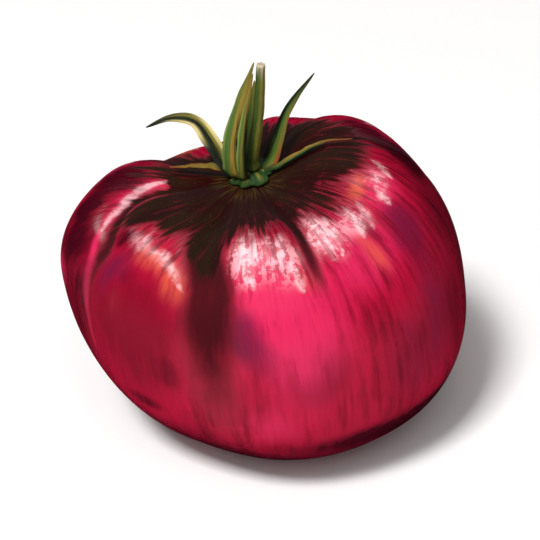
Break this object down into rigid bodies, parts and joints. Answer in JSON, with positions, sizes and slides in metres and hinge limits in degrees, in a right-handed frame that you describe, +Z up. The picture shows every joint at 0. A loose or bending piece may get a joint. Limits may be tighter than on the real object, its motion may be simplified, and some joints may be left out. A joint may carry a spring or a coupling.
{
  "type": "tomato",
  "caption": "Ripe, deeply lobed tomato as picked, resting on its flat spot, with green calyx and a short cut stem.",
  "frame": {"origin": "middle of the flat spot that the fruit rests on", "axes": "+Z up through the fruit; -Y faces the viewer; +X is to the viewer's right; the fruit's top leans to -X and -Y"},
  "size_m": [0.0945, 0.09, 0.0913],
  "materials": {
    "fruit": "ripe crimson tomato skin, smooth and waxy, dark and dull towards the pit",
    "calyx": "dull green leaf with fine hairs, drying to yellow at the edges",
    "stem": "dull green stalk with fine hairs and a pale cut end"
  },
  "bodies": {
    "root": {"fruit": "fruit", "calyx": "calyx", "stem": "stem"}
  },
  "joints": []
}
